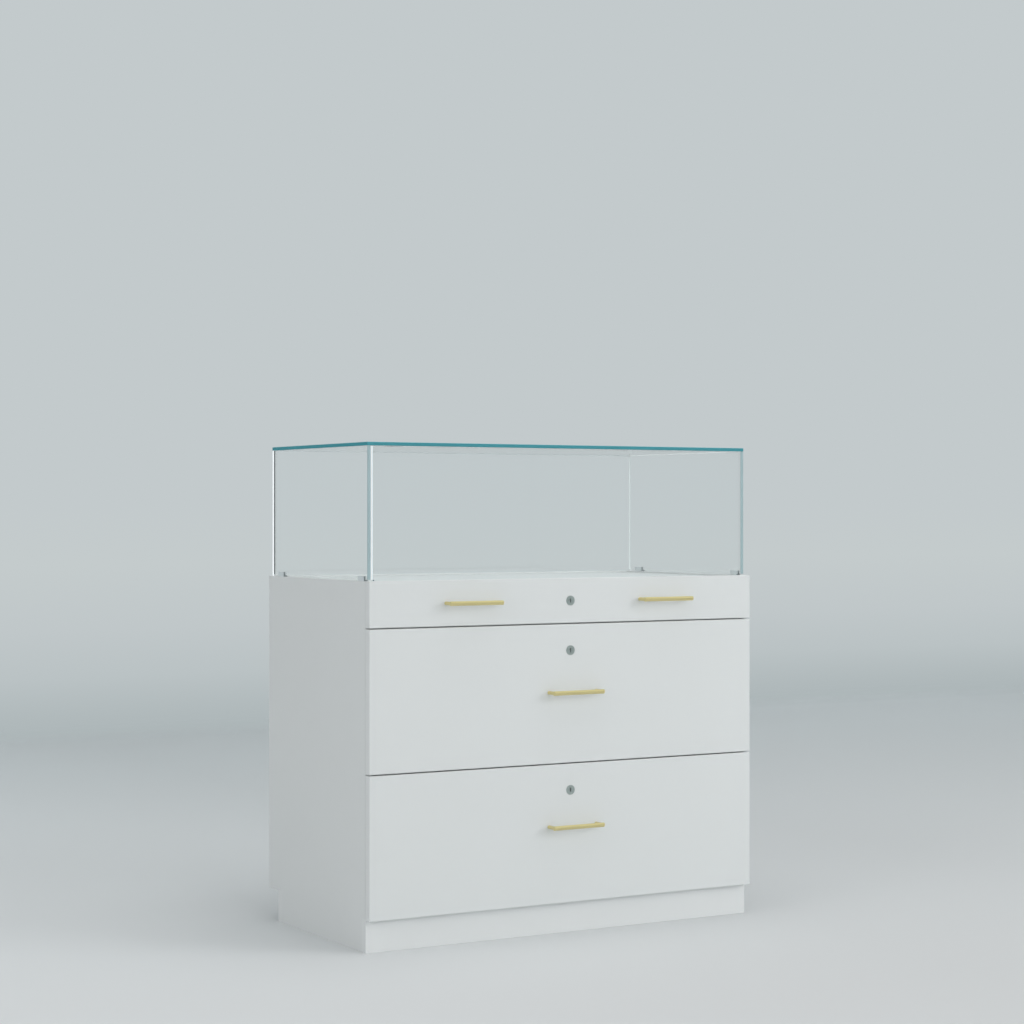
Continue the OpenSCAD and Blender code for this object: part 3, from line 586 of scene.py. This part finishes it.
# Painted highlight: the paler tone of the upward-facing arrises.
painted_highlight_top_arris = ground_edge("ground_arris_painted_highlight", TOP_ARRIS_PAINTED_HIGHLIGHT_HEX)
upright_edge = ground_edge("ground_edge_of_upright_panes", UPRIGHT_EDGE_HEX)
# Painted highlights that glow, near white.
painted_highlight_edge = ground_edge("polished_edge_painted_highlight", PAINTED_HIGHLIGHT_HEX, PAINTED_HIGHLIGHT_GLOW)
painted_highlight_bevel = ground_edge("polished_bevel_painted_highlight", PAINTED_HIGHLIGHT_HEX, BEVEL_PAINTED_HIGHLIGHT_GLOW)
# Painted shade: the left pane's rear edge, dark grey.
painted_shade_joint_edge = ground_edge("painted_shade_on_adhesive_joint", JOINT_PAINTED_SHADE_HEX)
# Painted light: pale glued edges that glow a little.
painted_light_corner_edge = ground_edge("pale_edge_painted_light", CORNER_PAINTED_LIGHT_HEX, CORNER_PAINTED_GLOW)
seam_edge = ground_edge("top_edge_in_adhesive_joint", SEAM_HEX)
# The top pane's upward-facing arrises take the paler painted highlight.
glaze("hood_top_pane", lambda x, y, z: (
    float_glass if abs(z) > FLAT else painted_highlight_top_arris if z > LEVEL
    else top_end if abs(x) > SLOPED else top_edge))
# The left pane's rear edge gets painted shade; the right pane's rear edge below gets painted light.
glaze("hood_left_pane", lambda x, y, z: (
    float_glass if abs(x) > FLAT else painted_shade_joint_edge if y > SLOPED
    else painted_light_corner_edge if abs(z) > SLOPED else upright_edge))
# The right pane's rear, top and bottom edges take the glowing painted light.
glaze("hood_right_pane", lambda x, y, z: (
    float_glass if abs(x) > FLAT else painted_light_corner_edge if y > SLOPED or abs(z) > SLOPED
    else upright_edge))
# Both end faces of the back pane carry the glowing painted highlight.
glaze("hood_back_pane", lambda x, y, z: (
    painted_highlight_edge if abs(x) > SLOPED else seam_edge if z > SLOPED
    else painted_light_corner_edge if z < -SLOPED else float_glass))

# Hood clips: four short lengths of satin anodised aluminium angle that the side panes stand on.
# The extruded faces are bright; the sawn ends are duller, and painted darker as painted shade. A
# thin film of clear adhesive keeps each leg off the glass, so the clips look metallic from both
# sides of a pane.
CLIP_HEX = "#F4F8F9"
# Darker ends: painted shade on the sawn faces, whose rougher finish is real.
CLIP_END_PAINTED_SHADE_HEX = "#BCC3C5"
DRAWN_GRAIN_MM = (0.5, 12.0, 0.5)
SAW_GRAIN_MM = (2.5, 0.3, 0.3)
ADHESIVE_FILM = 0.00015
MERGE_WITHIN = 0.00001

clip_metal = fine_metal(
    "satin_anodised_aluminium", CLIP_HEX, roughness=0.45, grain_mm=DRAWN_GRAIN_MM, relief_mm=0.01)
# The sawn ends: a rougher metal whose darker colour is painted shade.
sawn_and_shaded_metal = fine_metal(
    "sawn_aluminium_painted_shade", CLIP_END_PAINTED_SHADE_HEX, roughness=0.6, grain_mm=SAW_GRAIN_MM, relief_mm=0.02)
glued_planes = [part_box(pane)[0][0] for pane in ("hood_left_pane", "hood_right_pane")]
bm = bmesh.new()
bm.from_mesh(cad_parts["hood_clips"].data)
bmesh.ops.remove_doubles(bm, verts=bm.verts, dist=MERGE_WITHIN)
for vert in bm.verts:
    if min(abs(vert.co.x - plane) for plane in glued_planes) < ADHESIVE_FILM:
        vert.co.x -= ADHESIVE_FILM
clips = mesh_object("hood_clip_angles", bm, clip_metal)
clips.data.materials.append(sawn_and_shaded_metal)
for polygon in clips.data.polygons:
    polygon.material_index = 1 if abs(polygon.normal[1]) > FACES_ALONG else 0
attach(clips, "cabinet")
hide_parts("hood_clips")

# Slides: pairs of full-extension ball-bearing slides, roll-formed from zinc-plated steel strip.
# Two rows of steel balls run above and below in each stage, spaced by pressed cages. The balls
# are polished, so they show as bright dots in the dull channels.
DRAWER_BODIES = {"deck": "display_deck", "middle": "middle_drawer", "lower": "lower_drawer"}
BALL_ROW = {"Ball Diameter": 0.0034, "Pitch": 0.013, "Balls": 14,
            "Cage Width": 0.0042, "Cage Thickness": 0.0006}
OUTER_STAGE = {"in": 0.0050, "height": 0.0196, "along": 0.75}
INNER_STAGE = {"in": 0.0065, "height": 0.0150, "along": 0.25}
BALL_HEX = "#D4D7D9"


def ball_tree(name, sizes, material):
    """A straight row of balls in the slots of a thin cage, centred on its place and along Y."""
    node, given, close = growth(name, sizes, material)
    radius = node("ShaderNodeMath", {0: given["Ball Diameter"], 1: 0.5}, operation="MULTIPLY")
    ball = node("GeometryNodeMeshUVSphere", {"Segments": 8, "Rings": 6, "Radius": radius.outputs[0]})
    smooth = node("GeometryNodeSetShadeSmooth", {"Geometry": ball.outputs["Mesh"]})
    gaps = node("ShaderNodeMath", {0: given["Balls"], 1: 1.0}, operation="SUBTRACT")
    run = node("ShaderNodeMath", {0: gaps.outputs[0], 1: given["Pitch"]}, operation="MULTIPLY")
    half = node("ShaderNodeMath", {0: run.outputs[0], 1: -0.5}, operation="MULTIPLY")
    first = node("ShaderNodeCombineXYZ", {1: half.outputs[0]})
    pace = node("ShaderNodeCombineXYZ", {1: given["Pitch"]})
    line = node("GeometryNodeMeshLine", {
        "Count": given["Balls"], "Start Location": first.outputs[0], "Offset": pace.outputs[0]})
    row = node("GeometryNodeInstanceOnPoints", {
        "Points": line.outputs[0], "Instance": smooth.outputs[0]})
    length = node("ShaderNodeMath", {0: given["Balls"], 1: given["Pitch"]}, operation="MULTIPLY")
    size = node("ShaderNodeCombineXYZ", {
        0: given["Cage Width"], 1: length.outputs[0], 2: given["Cage Thickness"]})
    strip = node("GeometryNodeMeshCube", {"Size": size.outputs[0]})
    both = node("GeometryNodeJoinGeometry", {0: row.outputs[0]})
    both.id_data.links.new(strip.outputs["Mesh"], both.inputs[0])
    return close(both.outputs[0])


bright_steel = fine_metal(
    "polished_bearing_steel", BALL_HEX, roughness=0.2, grain_mm=(0.8, 0.8, 0.8), relief_mm=0.002)
balls = ball_tree("ball_row", BALL_ROW, bright_steel)
panel_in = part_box("side_panel_right")[0][0]
for drawer in DRAWER_BODIES:
    dress(zinc, f"{drawer}_slide_cabinet_members", f"{drawer}_slide_centre_members",
          f"{drawer}_slide_drawer_members")
    low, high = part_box(f"{drawer}_slide_centre_members")
    centre_z = (low[2] + high[2]) / 2
    rows = []
    for stage in (OUTER_STAGE, INNER_STAGE):
        y = low[1] + stage["along"] * (high[1] - low[1])
        for side in (-1, 1):
            x = side * (panel_in - stage["in"])
            for up in (-1, 1):
                rows.append(((x, y, centre_z + up * stage["height"]), (0, 0, 1)))
    grow(f"{drawer}_slide_balls", balls, rows, f"{drawer}_slide_centres")

# Slide screws and levers: three pan-head screws hold each drawer member to its box, and a pressed
# lever inside the member's mouth lets the drawer be lifted off its slides.
SLIDE_SCREW = {"Head Diameter": 0.0066, "Head Height": 0.0014, "Shank Diameter": 0.0035,
               "Shank Length": 0.0100, "Recess Width": 0.0010, "Recess Depth": 0.0009}
SLIDE_SCREWS_ALONG = (0.035, 0.165, 0.395)
MEMBER_WEB = 0.0012
LEVER_FROM = 0.235
LEVER_OUTLINE_MM = ((0.0, -2.2), (30.0, -2.2), (38.0, -6.0), (56.0, -6.4), (62.0, -4.0), (62.0, 1.6),
                    (56.0, 2.2), (36.0, 2.2), (30.0, 4.6), (6.0, 4.6), (0.0, 2.2))
LEVER_THICK = 0.0010
LEVER_AIR = 0.0016
LEVER_EASE = 0.0002

slide_screw = screw_tree("slide_screw", SLIDE_SCREW, zinc)
for drawer, body in DRAWER_BODIES.items():
    low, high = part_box(f"{drawer}_slide_drawer_members")
    web_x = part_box(f"{drawer}_box_sides")[1][0] + MEMBER_WEB
    centre_z = (low[2] + high[2]) / 2
    spots = [((side * web_x, low[1] + y, centre_z), (side, 0, 0))
             for side in (-1, 1) for y in SLIDE_SCREWS_ALONG]
    grow(f"{drawer}_slide_screws", slide_screw, spots, body)
    bm = bmesh.new()
    for side in (-1, 1):
        near, far = (side * (web_x + LEVER_AIR + depth) for depth in (0.0, LEVER_THICK))
        rings = [[bm.verts.new((x, low[1] + LEVER_FROM + y / 1000, centre_z + z / 1000))
                  for y, z in LEVER_OUTLINE_MM] for x in (near, far)]
        bm.faces.new(rings[0])
        bm.faces.new(rings[1])
        for i in range(len(LEVER_OUTLINE_MM)):
            bm.faces.new((rings[0][i - 1], rings[0][i], rings[1][i], rings[1][i - 1]))
    bmesh.ops.recalc_face_normals(bm, faces=bm.faces)
    bmesh.ops.bevel(bm, geom=list(bm.edges), offset=LEVER_EASE, segments=1, affect="EDGES")
    levers = mesh_object(f"{drawer}_slide_levers", bm, zinc)
    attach(levers, body)

# Display deck: a board that covers the slides, on a low box, with the hood's front pane standing
# in a milky silicone channel in its rebate. The pane's two upright front edges have bevels; the left
# one carries a painted highlight that glows, the right one stays clear glass. The deck's film is
# matt, so no pane is mirrored in it.
BOX_HEX = "#E4E5E2"
BOX_ROUGHNESS = 0.5
DECK_HEX = "#D8DDDD"
DECK_ROUGHNESS = 0.7
SILICONE_HEX = "#E6EDED"
SILICONE_GLOSS = (0.25, 0.35)
SILICONE_GRAIN_MM = 5.0
SILICONE_IOR = 1.41

box_film = white_film("white_box_board_film", BOX_HEX, BOX_ROUGHNESS)
deck_film = white_film("matt_white_deck_film", DECK_HEX, DECK_ROUGHNESS, mirror=0.0)
silicone = smooth_plastic(
    "clear_silicone", SILICONE_HEX, SILICONE_GLOSS, SILICONE_GRAIN_MM, SILICONE_IOR, transmission=0.6)
dress(deck_film, "deck_board", ends=banding, face_axis=2)
dress(box_film, "deck_box_sides", ends=banding, face_axis=0)
dress(box_film, "deck_box_ends", ends=banding, face_axis=1)
dress(silicone, "front_pane_gasket")
# Only the left bevel carries the glowing painted highlight.
glaze("front_pane", lambda x, y, z: (
    painted_highlight_bevel if x < -SLOPED and abs(y) > SLOPED
    else float_glass if abs(y) > SLOPED else upright_edge))

# Drawer boxes: 16 mm white board, glued and screwed at the corners, with 6 mm bottoms in grooves.
# Moulded caps of the same plastic as the cam covers hide the screws in the box sides.
CAP_D = 0.012
CAP_RISE = 0.0008
CAP_IN = 0.008
CAP_HEIGHTS = (0.028, 0.135, 0.185)

screw_cap = dome_tree("screw_cap", CAP_D, CAP_RISE, 0.0, cap_white)
for drawer in ("middle", "lower"):
    dress(box_film, f"{drawer}_box_sides", ends=banding, face_axis=0)
    dress(box_film, f"{drawer}_box_ends", ends=banding, face_axis=1)
    dress(box_film, f"{drawer}_box_bottom", ends=banding, face_axis=2)
    low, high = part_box(f"{drawer}_box_sides")
    caps = [((side * high[0], y, low[2] + z), (side, 0, 0)) for side in (-1, 1)
            for y in (low[1] + CAP_IN, high[1] - CAP_IN) for z in CAP_HEIGHTS]
    grow(f"{drawer}_box_screw_caps", screw_cap, caps, f"{drawer}_drawer")

# Fronts: three full-width boards with eased, banded edges, lapped over the carcass, in a greyer
# copy of the panels' film, as painted shade. Glassy soft bumpers cast of polyurethane, stuck behind
# their corners, meet the side panels' edges and stop them from knocking.
FRONT_PAINTED_SHADE_HEX = "#DEE2E2"
BUMPER_D = 0.008
BUMPER_RISE = 0.00095
BUMPER_UP = 0.016
BUMPER_HEX = "#EEF1F1"
BUMPER_GLOSS = (0.1, 0.2)
BUMPER_GRAIN_MM = 5.0
POLYURETHANE_IOR = 1.49

# A greyer copy of the carcass film: painted shade on the fronts.
painted_shade_front_film = white_film("white_melamine_front_film_painted_shade", FRONT_PAINTED_SHADE_HEX, BOARD_ROUGHNESS)
soft_clear = smooth_plastic(
    "clear_polyurethane", BUMPER_HEX, BUMPER_GLOSS, BUMPER_GRAIN_MM, POLYURETHANE_IOR,
    transmission=0.9)
bumper = dome_tree("soft_bumper", BUMPER_D, BUMPER_RISE, 0.0, soft_clear)
panel_low, panel_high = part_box("side_panel_right")
for drawer, body in DRAWER_BODIES.items():
    dress(painted_shade_front_film, f"{drawer}_front", ends=banding, face_axis=1)
    low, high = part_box(f"{drawer}_front")
    lowest = max(low[2], panel_low[2])
    spots = [((side * (panel_low[0] + panel_high[0]) / 2, high[1], z), (0, 1, 0)) for side in (-1, 1)
             for z in (lowest + BUMPER_UP, high[2] - BUMPER_UP)]
    grow(f"{drawer}_front_bumpers", bumper, spots, body)

# Pulls: a 10 mm round bar on two saddled posts, solid metal, brushed and plated in champagne gold.
# The brushing runs along the bar and blurs the highlights round it. Cross-recess screws come
# through box and front into the posts.
GOLD_HEX = "#EEE0A5"
BRUSH_MM = (9.0, 0.5, 0.5)
PULL_BARS = {"deck": "deck_pull_bars", "middle": "middle_pull_bar", "lower": "lower_pull_bar"}
PULL_SCREW = {"Head Diameter": 0.0080, "Head Height": 0.0025, "Shank Diameter": 0.0040,
              "Shank Length": 0.0450, "Recess Width": 0.0012, "Recess Depth": 0.0016}
PULL_POST_IN = 0.004
BOX_BOARD = 0.016

gold = fine_metal(
    "brushed_champagne_gold", GOLD_HEX, roughness=0.36, grain_mm=BRUSH_MM, relief_mm=0.01)
pull_screw = screw_tree("pull_screw", PULL_SCREW, zinc)
for drawer, body in DRAWER_BODIES.items():
    bar = PULL_BARS[drawer]
    dress(gold, bar, f"{drawer}_pull_posts")
    low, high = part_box(f"{drawer}_pull_screws")
    seat_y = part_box(f"{drawer}_box_ends")[0][1] + BOX_BOARD
    bar_low, bar_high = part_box(bar)
    ends = [bar_low[0], bar_high[0]]
    if drawer == "deck":
        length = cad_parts["middle_pull_bar"].dimensions[0]
        ends = [bar_low[0], bar_low[0] + length, bar_high[0] - length, bar_high[0]]
    posts = [end + PULL_POST_IN * (1 if i % 2 == 0 else -1) for i, end in enumerate(ends)]
    spots = [((x, seat_y, (low[2] + high[2]) / 2), (0, 1, 0)) for x in posts]
    screws = grow(f"{drawer}_cross_recess_screws", pull_screw, spots, body)
    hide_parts(f"{drawer}_pull_screws")

# Locks: die-cast cam locks plated in satin nickel, which reflects softly. The collar sits on the
# front, the plug turns in it with its keyway, and five brass pins, bright from the lathe, hang
# in the keyway from above.
NICKEL_HEX = "#B9C4C1"
PIN_BRASS_HEX = "#C8AE6E"
PIN_ROW = {"Pin Diameter": 0.0013, "Pin Length": 0.0024, "Pitch": 0.0023, "Pins": 5}
PIN_POINT = 0.0002
KEYWAY_TOP = 0.0045
FIRST_PIN_IN = 0.0022


def pin_tree(name, sizes, material):
    """A row of round pins with coned tips, in from its place along Y, pointing its marked way."""
    node, given, close = growth(name, sizes, material)
    radius = node("ShaderNodeMath", {0: given["Pin Diameter"], 1: 0.5}, operation="MULTIPLY")
    body = node("GeometryNodeMeshCylinder", {
        "Vertices": 12, "Radius": radius.outputs[0], "Depth": given["Pin Length"]})
    half = node("ShaderNodeMath", {0: given["Pin Length"], 1: 0.5}, operation="MULTIPLY")
    up = node("ShaderNodeCombineXYZ", {2: half.outputs[0]})
    stem = node("GeometryNodeTransform", {
        "Geometry": body.outputs["Mesh"], "Translation": up.outputs[0]})
    tip = node("GeometryNodeMeshCone", {
        "Vertices": 12, "Radius Top": PIN_POINT, "Radius Bottom": radius.outputs[0],
        "Depth": radius.outputs[0]})
    end = node("ShaderNodeCombineXYZ", {2: given["Pin Length"]})
    point = node("GeometryNodeTransform", {
        "Geometry": tip.outputs["Mesh"], "Translation": end.outputs[0]})
    pin = node("GeometryNodeJoinGeometry", {0: stem.outputs[0]})
    pin.id_data.links.new(point.outputs[0], pin.inputs[0])
    pace = node("ShaderNodeCombineXYZ", {1: given["Pitch"]})
    line = node("GeometryNodeMeshLine", {"Count": given["Pins"], "Offset": pace.outputs[0]})
    row = node("GeometryNodeInstanceOnPoints", {
        "Points": line.outputs[0], "Instance": pin.outputs[0]})
    return close(row.outputs[0])


nickel = fine_metal(
    "satin_nickel_plate", NICKEL_HEX, roughness=0.38, grain_mm=(0.5, 0.5, 0.5), relief_mm=0.01)
pin_brass = fine_metal(
    "turned_brass", PIN_BRASS_HEX, roughness=0.3, grain_mm=(0.6, 0.6, 0.2), relief_mm=0.002)
pins = pin_tree("lock_pins", PIN_ROW, pin_brass)
for drawer in DRAWER_BODIES:
    dress(zinc, f"{drawer}_lock_cam")
    dress(nickel, f"{drawer}_lock_housing", f"{drawer}_lock_nut", f"{drawer}_lock_plug")
    low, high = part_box(f"{drawer}_lock_plug")
    top = ((low[0] + high[0]) / 2, low[1] + FIRST_PIN_IN, (low[2] + high[2]) / 2 + KEYWAY_TOP)
    grow(f"{drawer}_lock_pins", pins, [(top, (0, 0, -1))], f"{drawer}_lock")
